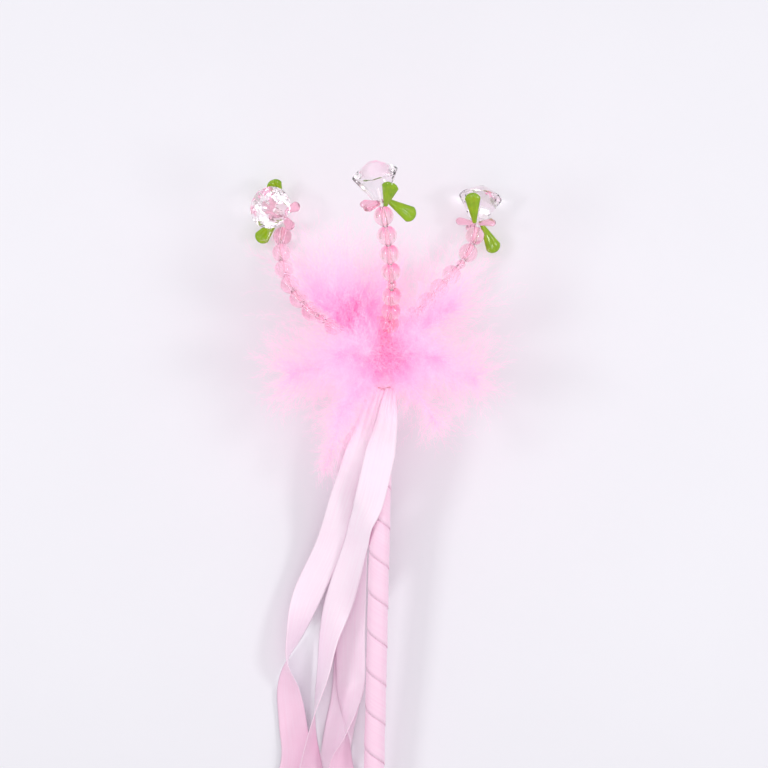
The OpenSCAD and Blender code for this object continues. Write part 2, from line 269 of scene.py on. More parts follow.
@dataclass(frozen=True)
class Satin(Finish):
    """Satin ribbon: streaked tone, a soft shine across the threads, a fine weave and a deeper back."""

    face: Color
    deep: Color
    back: Color
    threads_per_metre: float = 4200.0
    gloss: Pair = (0.42, 0.3)

    def inputs(self, pen: NodePen, effects: Effects) -> dict[str, Any]:
        """Gives the inputs from the weave, with the back's own colour."""
        flat = pen.add("ShaderNodeUVMap", uv_map=UV_NAME).outputs["UV"]
        weave = pen.add("ShaderNodeGroup", {"Flat": flat, "Threads": self.threads_per_metre},
                        node_tree=effects.weave)
        # The weave's tone holds painted shade in the crease hollows, which turns the face towards its deep colour
        # there.
        tone = weave.outputs["Tone"]
        turned = pen.add("ShaderNodeAttribute", attribute_name="back").outputs["Fac"]
        bump = pen.add("ShaderNodeBump", {
            "Strength": 0.35, "Distance": 0.0003, "Height": weave.outputs["Height"]})
        front, back = pen.blend(tone, self.deep, self.face), pen.blend(tone, self.back, self.deep)
        return {"Base Color": pen.blend(turned, front, back), "Roughness": pen.between(tone, *self.gloss),
                "Normal": bump.outputs[0], "Sheen Weight": 0.25, "Sheen Roughness": 0.35, "Anisotropic": 0.4,
                "Specular IOR Level": 0.45}


@dataclass(frozen=True)
class Acrylic(Finish):
    """Clear moulded acrylic with a faint cloudiness, a polished skin and a light shadow."""

    tint: Color
    cloud: Color
    transmission: float
    cloud_scale: float = 220.0
    gloss: Pair = (0.02, 0.07)
    shade: float = 0.35
    ior: float = 1.49

    def inputs(self, pen: NodePen, effects: Effects) -> dict[str, Any]:
        """Gives the inputs from the cloudiness, and lets most light through to the shadow."""
        tone = effects.mottled(pen, self.cloud_scale)
        shadow = pen.add("ShaderNodeLightPath").outputs["Is Shadow Ray"]
        return {"Base Color": pen.blend(tone, self.tint, self.cloud), "Roughness": pen.between(tone, *self.gloss),
                "Alpha": pen.between(shadow, 1.0, self.shade), "Transmission Weight": self.transmission,
                "IOR": self.ior}


@dataclass(frozen=True)
class Down(Finish):
    """Dyed down, hot pink at the quills and pale at the tips, with a painted glow in its own colour that lifts its
    shade.
    """

    pale: Color
    mid: Color
    hot: Color
    mid_at: float = 0.45
    scale: float = 160.0
    uneven: float = 0.06
    gloss: Pair = (0.6, 0.8)
    painted_glow: float = 0.25

    def inputs(self, pen: NodePen, effects: Effects) -> dict[str, Any]:
        """Gives the inputs from the tint of each barb."""
        tint = pen.add("ShaderNodeAttribute", attribute_name="tint").outputs["Fac"]
        tone = effects.mottled(pen, self.scale)
        shade = pen.math("ADD", tint, pen.between(tone, -self.uneven, self.uneven))
        ramp = pen.add("ShaderNodeValToRGB", {"Fac": shade})
        stops = ramp.color_ramp.elements
        stops[0].color, stops[1].color = self.pale, self.hot
        stops.new(self.mid_at).color = self.mid
        # The emission is a painted glow in the down's own colour, lifting the shade between its fine strips.
        return {"Base Color": ramp.outputs[0], "Roughness": pen.between(tone, *self.gloss),
                "Emission Color": ramp.outputs[0], "Emission Strength": self.painted_glow, "Sheen Weight": 0.2,
                "Sheen Roughness": 0.4, "Specular IOR Level": 0.1}


@dataclass(frozen=True)
class Grained(Finish):
    """A surface with a fine grain in its tone, its shine and its relief."""

    light: Color
    dark: Color
    scale: float
    stretch: Triple
    gloss: Pair
    bump: Pair
    metal: float = 0.0

    def inputs(self, pen: NodePen, effects: Effects) -> dict[str, Any]:
        """Gives the inputs from the grain."""
        tone = effects.mottled(pen, self.scale, self.stretch)
        strength, depth = self.bump
        relief = pen.add("ShaderNodeBump", {"Strength": strength, "Distance": depth, "Height": tone})
        return {"Base Color": pen.blend(tone, self.light, self.dark), "Roughness": pen.between(tone, *self.gloss),
                "Normal": relief.outputs[0], "Metallic": self.metal}


@dataclass(frozen=True)
class Backdrop(Finish):
    """Pale seamless paper under the wand."""

    paper: Color
    shade: Color
    scale: float = 9.0

    def inputs(self, pen: NodePen, effects: Effects) -> dict[str, Any]:
        """Gives the inputs from a faint unevenness of the paper."""
        tone = effects.mottled(pen, self.scale)
        return {"Base Color": pen.blend(tone, self.paper, self.shade), "Roughness": 0.9, "Specular IOR Level": 0.1}


class Finishes:
    """Every material of the wand, made once."""

    def __init__(self) -> None:
        """Makes the materials."""
        effects = Effects()
        blush = srgb(249, 196, 222)
        self.streamer = Satin("streamer_satin", srgb(255, 246, 254), srgb(253, 222, 241), blush).make(effects)
        self.wrap = Satin("wrap_satin", srgb(255, 228, 243), srgb(252, 200, 228), blush).make(effects)
        self.bead = Acrylic("bead_acrylic", srgb(255, 224, 235), srgb(254, 208, 224), 0.92).make(effects)
        self.petal = Acrylic("petal_acrylic", srgb(255, 214, 229), srgb(253, 196, 218), 0.85).make(effects)
        self.leaf = Acrylic("leaf_acrylic", srgb(164, 198, 8), srgb(132, 176, 2), 0.25, 300.0).make(effects)
        self.crystal = Acrylic(
            "crystal_acrylic", srgb(253, 246, 250), srgb(252, 238, 245), 1.0, 120.0, (0.0, 0.02)).make(effects)
        self.down = Down("feather_down", srgb(255, 209, 233), srgb(254, 164, 216), srgb(228, 50, 158)).make(effects)
        # The wire's near-white colour is partly painted highlight, standing for the bright bore seen inside each
        # bead.
        self.wire = Grained(
            "arm_wire", srgb(254, 249, 251), srgb(244, 236, 240), scale=900.0, stretch=(1.0, 1.0, 1.0),
            gloss=(0.22, 0.4), bump=(0.2, 0.00005), metal=0.35).make(effects)
        self.wood = Grained(
            "birch", srgb(232, 208, 170), srgb(206, 174, 130), scale=1.0, stretch=(1800.0, 60.0, 1800.0),
            gloss=(0.5, 0.68), bump=(0.3, 0.0001)).make(effects)
        self.tape = Grained(
            "craft_tape", srgb(244, 150, 205), srgb(228, 112, 182), scale=1.0, stretch=(500.0, 2600.0, 500.0),
            gloss=(0.55, 0.75), bump=(0.5, 0.0002)).make(effects)
        self.paper = Backdrop("paper", srgb(240, 239, 244), srgb(238, 237, 242)).make(effects)


def linked(name: str, data: bpy.types.ID) -> Piece:
    """Puts a mesh, a lamp or a camera in the scene as an object."""
    thing = bpy.data.objects.new(name, data)
    bpy.context.scene.collection.objects.link(thing)
    return thing


def mesh_piece(name: str, points: np.ndarray, faces: Sequence[Sequence[int]], material: Material,
               smooth: bool = True) -> Piece:
    """Makes a mesh object whose place is in its mesh.

    Args:
        name: The piece's name.
        points: Corners in millimetres, in the frame of the wand as it lies.
        faces: Corner numbers of each face.
        material: The finish.
        smooth: Whether its faces shade smoothly.

    Returns:
        The object.
    """
    mesh = bpy.data.meshes.new(name)
    mesh.from_pydata((np.asarray(points, float) * MM).tolist(), [], faces)
    mesh.materials.append(material)
    mesh.polygons.foreach_set("use_smooth", [smooth] * len(mesh.polygons))
    mesh.update()
    return linked(name, mesh)


def settle(piece: Piece, body: str = ROOT, nodes: Sequence[str] = ()) -> None:
    """Puts a finished piece on its body and lets it stand for its solids.

    Args:
        piece: The piece.
        body: The body that it rides on.
        nodes: The solids that it stands for.
    """
    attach(piece, body)
    if nodes:
        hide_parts(*nodes)
    LOG.info("%s: %d faces on %s", piece.name, len(piece.data.polygons), body)


def lathe(profile: np.ndarray, steps: int, closed: bool) -> Shape:
    """Turns a profile about +Z.

    Args:
        profile: Radius and height of each point, going round the section counter-clockwise.
        steps: Steps round the axis.
        closed: Whether the profile is a closed loop. An open one starts and ends on the axis.

    Returns:
        The corners and the faces.
    """
    rows = profile if closed else profile[1:-1]
    turns = np.arange(steps) * TURN / steps
    corners = np.concatenate(
        [np.stack([r * np.cos(turns), r * np.sin(turns), np.full(steps, z)], 1) for r, z in rows])
    ring = np.arange(len(corners)).reshape(-1, steps)
    low, high = (ring, np.roll(ring, -1, 0)) if closed else (ring[:-1], ring[1:])
    quads = np.stack([low, np.roll(low, -1, 1), np.roll(high, -1, 1), high], -1)
    faces = quads.reshape(-1, 4).tolist()
    if not closed:
        first, last = len(corners), len(corners) + 1
        corners = np.concatenate([corners, [[0, 0, profile[0][1]], [0, 0, profile[-1][1]]]])
        bottom, top = ring[0].tolist(), ring[-1].tolist()
        faces += [[first, bottom[(c + 1) % steps], bottom[c]] for c in range(steps)]
        faces += [[last, top[c], top[(c + 1) % steps]] for c in range(steps)]
    return corners, faces


def ribbon_piece(name: str, middle: np.ndarray, normal: np.ndarray, flat: np.ndarray, thickness: float,
                 material: Material) -> Piece:
    """Makes a closed strip of ribbon about its middle surface.

    Args:
        name: The piece's name.
        middle: Places on the middle surface, by row along the ribbon and column across it.
        normal: The surface's normal at each place.
        flat: Each place on the ribbon laid flat, in millimetres.
        thickness: The ribbon's thickness.
        material: The finish.

    Returns:
        The object, with its flat places as a UV map in metres, and a mark on its back.
    """
    rows, columns = middle.shape[:2]
    under = rows * columns
    points = np.concatenate([(middle + normal * side * thickness / 2).reshape(-1, 3) for side in (1, -1)])
    grid = np.arange(under).reshape(rows, columns)
    top = np.stack([grid[:-1, :-1], grid[:-1, 1:], grid[1:, 1:], grid[1:, :-1]], -1).reshape(-1, 4)
    rim = np.concatenate([grid[0, :-1], grid[:-1, -1], grid[-1, :0:-1], grid[:0:-1, 0]])
    after = np.roll(rim, -1)
    edge = np.stack([after, rim, rim + under, after + under], -1)
    piece = mesh_piece(name, points, np.concatenate([top, top[:, ::-1] + under, edge]).tolist(), material)
    back = piece.data.attributes.new("back", "FLOAT", "POINT")
    back.data.foreach_set("value", np.repeat([0.0, 1.0], under).astype(np.float32))
    layer = piece.data.uv_layers.new(name=UV_NAME)
    places = np.tile(flat.reshape(-1, 2), (2, 1)) * MM
    corners = np.zeros(len(piece.data.loops), dtype=np.int32)
    piece.data.loops.foreach_get("vertex_index", corners)
    layer.data.foreach_set("uv", places[corners].ravel())
    shell = bmesh.new()
    shell.from_mesh(piece.data)
    bmesh.ops.recalc_face_normals(shell, faces=shell.faces)
    shell.to_mesh(piece.data)
    shell.free()
    return piece


class NodeTool:
    """A Geometry Nodes tree with named inputs, which turns path pieces into plain meshes."""

    def __init__(self, name: str, takes: dict[str, str]) -> None:
        """Starts the tree.

        Args:
            name: The tree's name.
            takes: Socket types of its inputs after the geometry, by name.
        """
        self.tree = bpy.data.node_groups.new(name, "GeometryNodeTree")
        face = self.tree.interface
        face.new_socket("Geometry", in_out="INPUT", socket_type="NodeSocketGeometry")
        self.sockets = {label: face.new_socket(label, in_out="INPUT", socket_type=kind).identifier
                        for label, kind in takes.items()}
        face.new_socket("Geometry", in_out="OUTPUT", socket_type="NodeSocketGeometry")
        self.pen = NodePen(self.tree)
        self.start = self.pen.add("NodeGroupInput").outputs
        self.end = self.pen.add("NodeGroupOutput")

    def finish(self, geometry: Socket) -> None:
        """Ends the tree in plain geometry with its material."""
        real = self.pen.add("GeometryNodeRealizeInstances", {"Geometry": geometry})
        dressed = self.pen.add("GeometryNodeSetMaterial", {
            "Geometry": real.outputs[0], "Material": self.start["Material"]})
        self.pen.fill(self.end, {0: dressed.outputs[0]})

    def run(self, piece: Piece, values: dict[str, Any]) -> None:
        """Runs the tree on a piece of bare paths and leaves a plain mesh.

        Args:
            piece: The piece that holds the paths.
            values: Values of the named inputs.
        """
        modifier = piece.modifiers.new(self.tree.name, "NODES")
        modifier.node_group = self.tree
        for label, value in values.items():
            modifier[self.sockets[label]] = value
        graph = bpy.context.evaluated_depsgraph_get()
        mesh = bpy.data.meshes.new_from_object(piece.evaluated_get(graph))
        piece.modifiers.clear()
        piece.data = mesh


def path_piece(name: str, paths: np.ndarray, values: Optional[dict[str, np.ndarray]] = None) -> Piece:
    """Makes a piece of bare paths for a node tool.

    Args:
        name: The piece's name.
        paths: Points of each path in millimetres, by path and by step along it.
        values: Values at each point, by name.

    Returns:
        The object.
    """
    count, steps = paths.shape[:2]
    first = np.arange(count * steps).reshape(count, steps)
    edges = np.stack([first[:, :-1].ravel(), first[:, 1:].ravel()], 1)
    mesh = bpy.data.meshes.new(name)
    mesh.from_pydata((paths.reshape(-1, 3) * MM).tolist(), edges.tolist(), [])
    for label, numbers in (values or {}).items():
        layer = mesh.attributes.new(label, "FLOAT", "POINT")
        layer.data.foreach_set("value", np.asarray(numbers, np.float32).ravel())
    return linked(name, mesh)


def wire_tool() -> NodeTool:
    """Builds the tool that sweeps a round wire along a path."""
    tool = NodeTool("round_wire", {
        "Radius": "NodeSocketFloat", "Sides": "NodeSocketInt", "Material": "NodeSocketMaterial"})
    pen, start = tool.pen, tool.start
    path = pen.add("GeometryNodeMeshToCurve", {"Mesh": start["Geometry"]})
    ring = pen.add("GeometryNodeCurvePrimitiveCircle", {"Resolution": start["Sides"], "Radius": start["Radius"]})
    swept = pen.add("GeometryNodeCurveToMesh", {
        "Curve": path.outputs[0], "Profile Curve": ring.outputs[0], "Fill Caps": True})
    tool.finish(swept.outputs[0])
    return tool


def plume_tool() -> NodeTool:
    """Builds the tool that grows a plume's barbs along their paths, with barbules along each barb."""
    lengths = ("Barb Width", "Barbule Width", "Barbule Length", "Barbule Step")
    tool = NodeTool("plume", {**dict.fromkeys(lengths, "NodeSocketFloat"), "Seed": "NodeSocketInt",
                              "Material": "NodeSocketMaterial"})
    pen, start = tool.pen, tool.start
    barbs = pen.add("GeometryNodeMeshToCurve", {"Mesh": start["Geometry"]})
    thick = pen.add("GeometryNodeInputNamedAttribute", {"Name": "thick"}, data_type="FLOAT")
    ring = pen.add("GeometryNodeCurvePrimitiveCircle", {"Resolution": 3, "Radius": start["Barb Width"]})
    shafts = pen.add("GeometryNodeCurveToMesh", {
        "Curve": barbs.outputs[0], "Profile Curve": ring.outputs[0], "Scale": thick.outputs[0]})
    spots = pen.add("GeometryNodeCurveToPoints", {
        "Curve": barbs.outputs[0], "Length": start["Barbule Step"]}, mode="LENGTH")
    hair = pen.add("GeometryNodeCurveQuadraticBezier", {
        "Resolution": 2, "Start": (0.0, 0.0, 0.0), "Middle": (0.45, 0.0, 0.2), "End": (0.7, 0.0, 0.75)})
    spin = pen.add("FunctionNodeRandomValue", {
        "Seed": start["Seed"], 0: (-0.3, -0.3, 0.0), 1: (0.3, 0.3, TURN)}, data_type="FLOAT_VECTOR")
    turn = pen.add("FunctionNodeEulerToRotation", {"Euler": spin.outputs[0]})
    aim = pen.add("FunctionNodeRotateRotation", {
        "Rotation": spots.outputs["Rotation"], "Rotate By": turn.outputs[0]}, rotation_space="LOCAL")
    reach = pen.add("FunctionNodeRandomValue", {"Seed": start["Seed"], 2: 0.5, 3: 1.2}, data_type="FLOAT")
    size = pen.math("MULTIPLY", reach.outputs[1], start["Barbule Length"])
    hairs = pen.add("GeometryNodeInstanceOnPoints", {
        "Points": spots.outputs["Points"], "Instance": hair.outputs[0], "Rotation": aim.outputs[0], "Scale": size})
    loose = pen.add("GeometryNodeRealizeInstances", {"Geometry": hairs.outputs[0]})
    left, right = (pen.add("ShaderNodeCombineXYZ", {"X": pen.math("MULTIPLY", start["Barbule Width"], half)})
                   for half in (-0.5, 0.5))
    line = pen.add("GeometryNodeCurvePrimitiveLine", {"Start": left.outputs[0], "End": right.outputs[0]})
    strips = pen.add("GeometryNodeCurveToMesh", {
        "Curve": loose.outputs[0], "Profile Curve": line.outputs[0], "Scale": 1.0})
    joined = pen.add("GeometryNodeJoinGeometry")
    for part in (shafts, strips):
        pen.fill(joined, {0: part.outputs[0]})
    tool.finish(joined.outputs[0])
    return tool


@dataclass(frozen=True)
class Lie:
    """How the stick lies: its foot at the origin, and its slope up to the crown."""

    slope: float
    dowel_r: float = 3.175
    hub: float = 297.0
    tie_low: float = 275.5

    @property
    def floor(self) -> float:
        """Height of what the wand lies on."""
        return -self.dowel_r * math.cos(self.slope)

    def lay(self, points: np.ndarray) -> np.ndarray:
        """Lays places or directions down from the standing stick.

        Args:
            points: Places with +Z along the stick and -Y the side that ends up on top.

        Returns:
            The same places as the wand lies.
        """
        points = np.asarray(points, float)
        sine, cosine = math.sin(self.slope), math.cos(self.slope)
        x, y, z = points[..., 0], points[..., 1], points[..., 2]
        return np.stack([x, y * sine + z * cosine, -y * cosine + z * sine], -1)

    def axis_height(self, below: np.ndarray) -> np.ndarray:
        """Gives the height of the stick's axis above the floor, by the distance below the tie."""
        return (self.tie_low - below) * math.sin(self.slope) - self.floor


def shift(x: float, y: float, z: float) -> np.ndarray:
    """Gives the matrix of a move."""
    matrix = np.eye(4)
    matrix[:3, 3] = (x, y, z)
    return matrix


def turn_y(degrees: float) -> np.ndarray:
    """Gives the matrix of a turn about Y."""
    c, s = math.cos(math.radians(degrees)), math.sin(math.radians(degrees))
    return np.array([[c, 0, s, 0], [0, 1, 0, 0], [-s, 0, c, 0], [0, 0, 0, 1]], float)


def turn_z(degrees: float) -> np.ndarray:
    """Gives the matrix of a turn about Z."""
    c, s = math.cos(math.radians(degrees)), math.sin(math.radians(degrees))
    return np.array([[c, -s, 0, 0], [s, c, 0, 0], [0, 0, 1, 0], [0, 0, 0, 1]], float)


def placed(matrix: np.ndarray, points: np.ndarray) -> np.ndarray:
    """Moves points by a matrix."""
    return np.asarray(points, float) @ matrix[:3, :3].T + matrix[:3, 3]


def unit(vectors: np.ndarray) -> np.ndarray:
    """Gives the directions of vectors along the last axis."""
    return vectors / np.linalg.norm(vectors, axis=-1, keepdims=True)


def away(angle: np.ndarray, share: np.ndarray) -> np.ndarray:
    """Gives directions away from the stick, by row of angles and column of shares."""
    ring = np.stack(np.broadcast_arrays(np.cos(angle), np.sin(angle), 0 * angle), -1)
    return ring + 0 * share[..., None]


@dataclass(frozen=True)
class ArmShape:
    """One arm of the crown: its place round the stick, the run of its wire and its tip."""

    arm: Arm
    around: float
    foot_heading: float
    foot_run: float
    end_heading: float
    curve_roll: float
    tip_lean: float
    lean_roll: float
    flower_turn: float
    leaf_step: int
    carry: float
    upper_roll: float
    lower_tilt: float
    lower_roll: float

    shank_r: float = 3.775
    shank_low: float = 284.5
    bend_at: float = 293.0
    foot_bend: float = 4.0
    tip_bend: float = 4.0
    crystal_at: float = 3.0
    crystal_hole: float = 5.95

    def segments(self) -> list[Triple]:
        """Gives the wire's runs from the binding to the crystal: length, turn and roll of each."""
        return [
            (self.bend_at - self.shank_low, 0.0, 0.0),
            (self.foot_bend * math.radians(self.foot_heading), self.foot_heading, 0.0),
            (self.foot_run, 0.0, 0.0),
            (self.carry - self.foot_run, self.end_heading - self.foot_heading, self.curve_roll),
            (self.tip_bend * math.radians(max(self.tip_lean, 1.0)), self.tip_lean, self.lean_roll),
            (self.crystal_at + self.crystal_hole, 0.0, 0.0),
        ]

    def length(self) -> float:
        """Gives the wire's whole length."""
        return sum(run[0] for run in self.segments())

    def at(self, distance: float) -> np.ndarray:
        """Gives the wire's frame at a distance along it.

        Args:
            distance: The distance from the wire's foot.

        Returns:
            A matrix with +Z along the wire and +X away from the stick.
        """
        matrix = turn_z(self.around) @ shift(self.shank_r, 0.0, self.shank_low)
        runs = self.segments()
        for k, (length, turn, roll) in enumerate(runs):
            part = distance if k == len(runs) - 1 else min(distance, length)
            matrix = matrix @ turn_z(roll)
            if turn:
                radius, bend = length / math.radians(turn), turn * part / length
                angle = math.radians(bend)
                step = shift(radius * (1 - math.cos(angle)), 0.0, radius * math.sin(angle)) @ turn_y(bend)
            else:
                step = shift(0.0, 0.0, part)
            matrix = matrix @ step
            distance -= part
            if distance <= 1e-9:
                break
        return matrix

    def post(self, distance: float) -> np.ndarray:
        """Gives the frame on the tip post at a distance from its start, turned with the flower."""
        start = sum(run[0] for run in self.segments()[:-1])
        return self.at(start + distance) @ turn_z(self.flower_turn)


@dataclass
class Crown:
    """The three beaded arms with their petals, leaves and crystals."""

    lie: Lie
    finishes: Finishes
    bead_r: float = 4.0
    small_bead_r: float = 2.0
    small_below: float = 6.0
    bore_r: float = 0.9
    mouth: float = 0.22
    bead_rows: int = 25
    bead_steps: int = 48
    lip_rows: int = 4
    wire_r: float = 0.5
    wire_rows: int = 160
    wire_sides: int = 14
    petal: Triple = (8.4, 4.8, 3.4)
    petal_crease: float = 0.25
    leaf: Triple = (14.0, 7.0, 3.0)
    leaf_crease: float = 0.45
    crease_width: float = 0.55
    crease_fade: float = 1.2
    root_r: float = 1.0
    root_rows: int = 7
    tip_rows: int = 15
    row_step: float = 0.8
    drop_steps: int = 40
    flower_step: float = 72.0
    flower_places: int = 5
    petal_root: Triple = (1.25, 1.8, 90.0)
    upper_root: Triple = (0.9, 3.9, 42.0)
    lower_root: Pair = (1.25, 3.0)
    cut_sides: int = 10
    cut_edge: float = 0.09
    cut_rings: tuple[Triple, ...] = (
        (3.3, 0.0, 0.0), (6.3, 5.0, 0.5), (9.25, 9.8, 0.0), (9.15, 10.2, 0.5), (9.1, 10.7, 0.0),
        (5.85, 12.8, 0.5), (2.0, 15.0, 0.0))
    arms: tuple[ArmShape, ...] = (
        ArmShape(Arm.LEFT, 168.13, 85, 0.5, -5, 32, 110, 80, 186, 2, 73, 30, 75, 165),
        ArmShape(Arm.CENTER, 279, 55, 2, 8, 20, 0, 90, 276, 1, 69, 135, 135, 75),
        ArmShape(Arm.RIGHT, 30, 46, 42, 13, -24, 1, 60, 180, 2, 63, 15, 135, 120),
    )

    def build(self) -> None:
        """Builds and dresses every piece of the crown."""
        tool = wire_tool()
        for shape in self.arms:
            self._wire(shape, tool)
            self._petals(shape)
            for place in LeafPlace:
                self._leaf(shape, place)
            self._crystal(shape)
        for joint in frame["joints"]:
            self._bead(joint)

    def _wire(self, shape: ArmShape, tool: NodeTool) -> None:
        """Sweeps the arm's wire from the binding to the crystal."""
        path = np.array([shape.at(d)[:3, 3] for d in np.linspace(0, shape.length(), self.wire_rows)])
        piece = path_piece(f"wire_{shape.arm.value}", self.lie.lay(path)[None])
        tool.run(piece, {"Radius": self.wire_r * MM, "Sides": self.wire_sides, "Material": self.finishes.wire})
        piece.data.polygons.foreach_set("use_smooth", [True] * len(piece.data.polygons))
        settle(piece, nodes=[f"arm_wire_{shape.arm.value}"])

    def _bead(self, joint: dict[str, Any]) -> None:
        """Turns one bead about its joint's axis, with a rounded mouth at each end of its bore."""
        node = joint["child"]
        low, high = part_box(node)
        radius = self.small_bead_r if (high[0] - low[0]) / MM < self.small_below else self.bead_r
        rim = math.asin((self.bore_r + self.mouth) / radius)
        arc = np.linspace(-math.pi / 2 + rim, math.pi / 2 - rim, self.bead_rows)
        outer = np.stack([radius * np.cos(arc), radius * np.sin(arc)], 1)
        turns = np.linspace(0, math.pi / 2, self.lip_rows)[1:]
        lip = np.stack([self.bore_r + self.mouth * (1 - np.sin(turns)),
                        outer[-1][1] - self.mouth * (1 - np.cos(turns))], 1)
        points, faces = lathe(np.concatenate([outer, lip, lip[::-1] * (1, -1)]), self.bead_steps, True)
        turn = np.array(Vector((0, 0, 1)).rotation_difference(Vector(joint["axis"])).to_matrix())
        center = np.array(joint["pos_m"]) / MM
        piece = mesh_piece(f"round_{node}", points @ turn.T + center, faces, self.finishes.bead)
        settle(piece, body=node, nodes=[node])

    def _drop(self, size: Triple, crease: float) -> Shape:
        """Shapes a flattened drop that stands on its small round end.

        Args:
            size: Length, width and thickness.
            crease: Depth of the groove along the middle of its faces.

        Returns:
            The corners and the faces.
        """
        length, width, thickness = size
        tip = length - self.root_r - width / 2
        lean = math.acos((width / 2 - self.root_r) / tip)
        low = np.linspace(-math.pi / 2, math.pi / 2 - lean, self.root_rows)
        high = np.linspace(math.pi / 2 - lean, math.pi / 2, self.tip_rows)
        profile = np.concatenate([
            np.stack([self.root_r * np.cos(low), self.root_r * np.sin(low)], 1),
            np.stack([width / 2 * np.cos(high), tip + width / 2 * np.sin(high)], 1)])
        rows = [profile[0]]
        for a, b in zip(profile[:-1], profile[1:]):
            cuts = max(1, int(np.linalg.norm(b - a) / self.row_step))
            rows += [a + (b - a) * (k + 1) / cuts for k in range(cuts)]
        profile = np.array(rows)
        profile[[0, -1], 0] = 0
        points, faces = lathe(profile, self.drop_steps, False)
        radius = np.hypot(points[:, 0], points[:, 1])
        share = np.clip(points[:, 2] / tip, 0, 1)
        flat = 1 - (1 - thickness / width) * share
        groove = crease * share * np.exp(-(points[:, 1] / self.crease_width) ** 2)
        groove *= np.minimum(1, radius / self.crease_fade)
        points[:, 0] = points[:, 0] * flat - np.sign(points[:, 0]) * groove
        return points, faces

    def _on_post(self, shape: ArmShape, root: Triple, angle: float, roll: float, points: np.ndarray) -> np.ndarray:
        """Stands a drop on the tip post.

        Args:
            shape: The arm.
            root: Distance of the drop's root along the post and away from it, and its tilt.
            angle: Angle round the post.
            roll: Roll of the drop about its own length.
            points: The drop's corners.

        Returns:
            The corners as the wand lies.
        """
        at, out, tilt = root
        matrix = shape.post(at) @ turn_z(angle) @ shift(out, 0.0, 0.0) @ turn_y(tilt) @ turn_z(roll)
        return self.lie.lay(placed(matrix, points))

    def _petals(self, shape: ArmShape) -> None:
        """Sets petal beads round the tip, in the places that the leaves leave free."""
        points, faces = self._drop(self.petal, self.petal_crease)
        corners, sides = [], []
        for k in range(1, self.flower_places):
            if k != shape.leaf_step:
                start = len(points) * len(corners)
                sides += [[c + start for c in face] for face in faces]
                corners.append(self._on_post(shape, self.petal_root, self.flower_step * k, 0.0, points))
        piece = mesh_piece(f"flower_{shape.arm.value}", np.concatenate(corners), sides, self.finishes.petal)
        settle(piece, nodes=[f"petals_{shape.arm.value}"])

    def _leaf(self, shape: ArmShape, place: LeafPlace) -> None:
        """Sets one leaf bead on the tip."""
        points, faces = self._drop(self.leaf, self.leaf_crease)
        if place is LeafPlace.UPPER:
            corners = self._on_post(shape, self.upper_root, 0.0, shape.upper_roll, points)
        else:
            root = (*self.lower_root, shape.lower_tilt)
            corners = self._on_post(shape, root, self.flower_step * shape.leaf_step, shape.lower_roll, points)
        node = f"leaf_{shape.arm.value}_{place.value}"
        settle(mesh_piece(f"green_{node}", corners, faces, self.finishes.leaf), nodes=[node])

    def _crystal(self, shape: ArmShape) -> None:
        """Cuts one crystal: a small table, a crown of kites, a narrow girdle and a faceted base."""
        cut = bmesh.new()
        for radius, height, part in self.cut_rings:
            for k in range(self.cut_sides):
                t = TURN * (k + part) / self.cut_sides
                cut.verts.new((radius * math.cos(t), radius * math.sin(t), height))
        bmesh.ops.convex_hull(cut, input=cut.verts)
        bmesh.ops.dissolve_limit(cut, angle_limit=math.radians(1), verts=cut.verts, edges=cut.edges)
        bmesh.ops.bevel(
            cut, geom=cut.edges[:], offset=self.cut_edge, offset_type="OFFSET", segments=1, affect="EDGES")
        bmesh.ops.recalc_face_normals(cut, faces=cut.faces)
        cut.verts.ensure_lookup_table()
        points = np.array([v.co for v in cut.verts])
        faces = [[v.index for v in face.verts] for face in cut.faces]
        cut.free()
        corners = self.lie.lay(placed(shape.post(shape.crystal_at), points))
        node = f"crystal_{shape.arm.value}"
        piece = mesh_piece(f"cut_{node}", corners, faces, self.finishes.crystal, smooth=False)
        settle(piece, nodes=[node])


@dataclass(frozen=True)
class Plume:
    """One plume: its place on the binding, the turn of its quill, its vane and how its down is combed."""

    name: str
    around: float
    root: float
    heading: float
    turn: float
    length: float
    width: float
    roll: float
    heat: float
    comb: Triple
    fullness: float = 1.0
    reach: float = 1.0
    foot_r: float = 5.875

    def frames(self, lie: Lie, u: np.ndarray) -> tuple[np.ndarray, ...]:
        """Gives the quill's places and directions.

        Args:
            lie: How the stick lies.
            u: Shares of the quill's length.

        Returns:
            Places, and directions along, across and out of the vane.
        """
        start, turn, roll = (math.radians(angle) for angle in (self.heading, self.turn, self.roll))
        now, radius, zero = start + turn * u, self.length / turn, np.zeros_like(u)
        place = np.stack([self.foot_r + radius * (math.cos(start) - np.cos(now)), zero,
                          lie.hub + self.root + radius * (np.sin(now) - math.sin(start))], -1)
        along = np.stack([np.sin(now), zero, np.cos(now)], -1)
        side = np.stack([zero, zero + 1, zero], -1)
        face = np.stack([-np.cos(now), zero, np.sin(now)], -1)
        across = side * math.cos(roll) + face * math.sin(roll)
        out = face * math.cos(roll) - side * math.sin(roll)
        spin = turn_z(self.around)[:3, :3]
        return tuple(lie.lay(v @ spin.T) for v in (place, along, across, out))


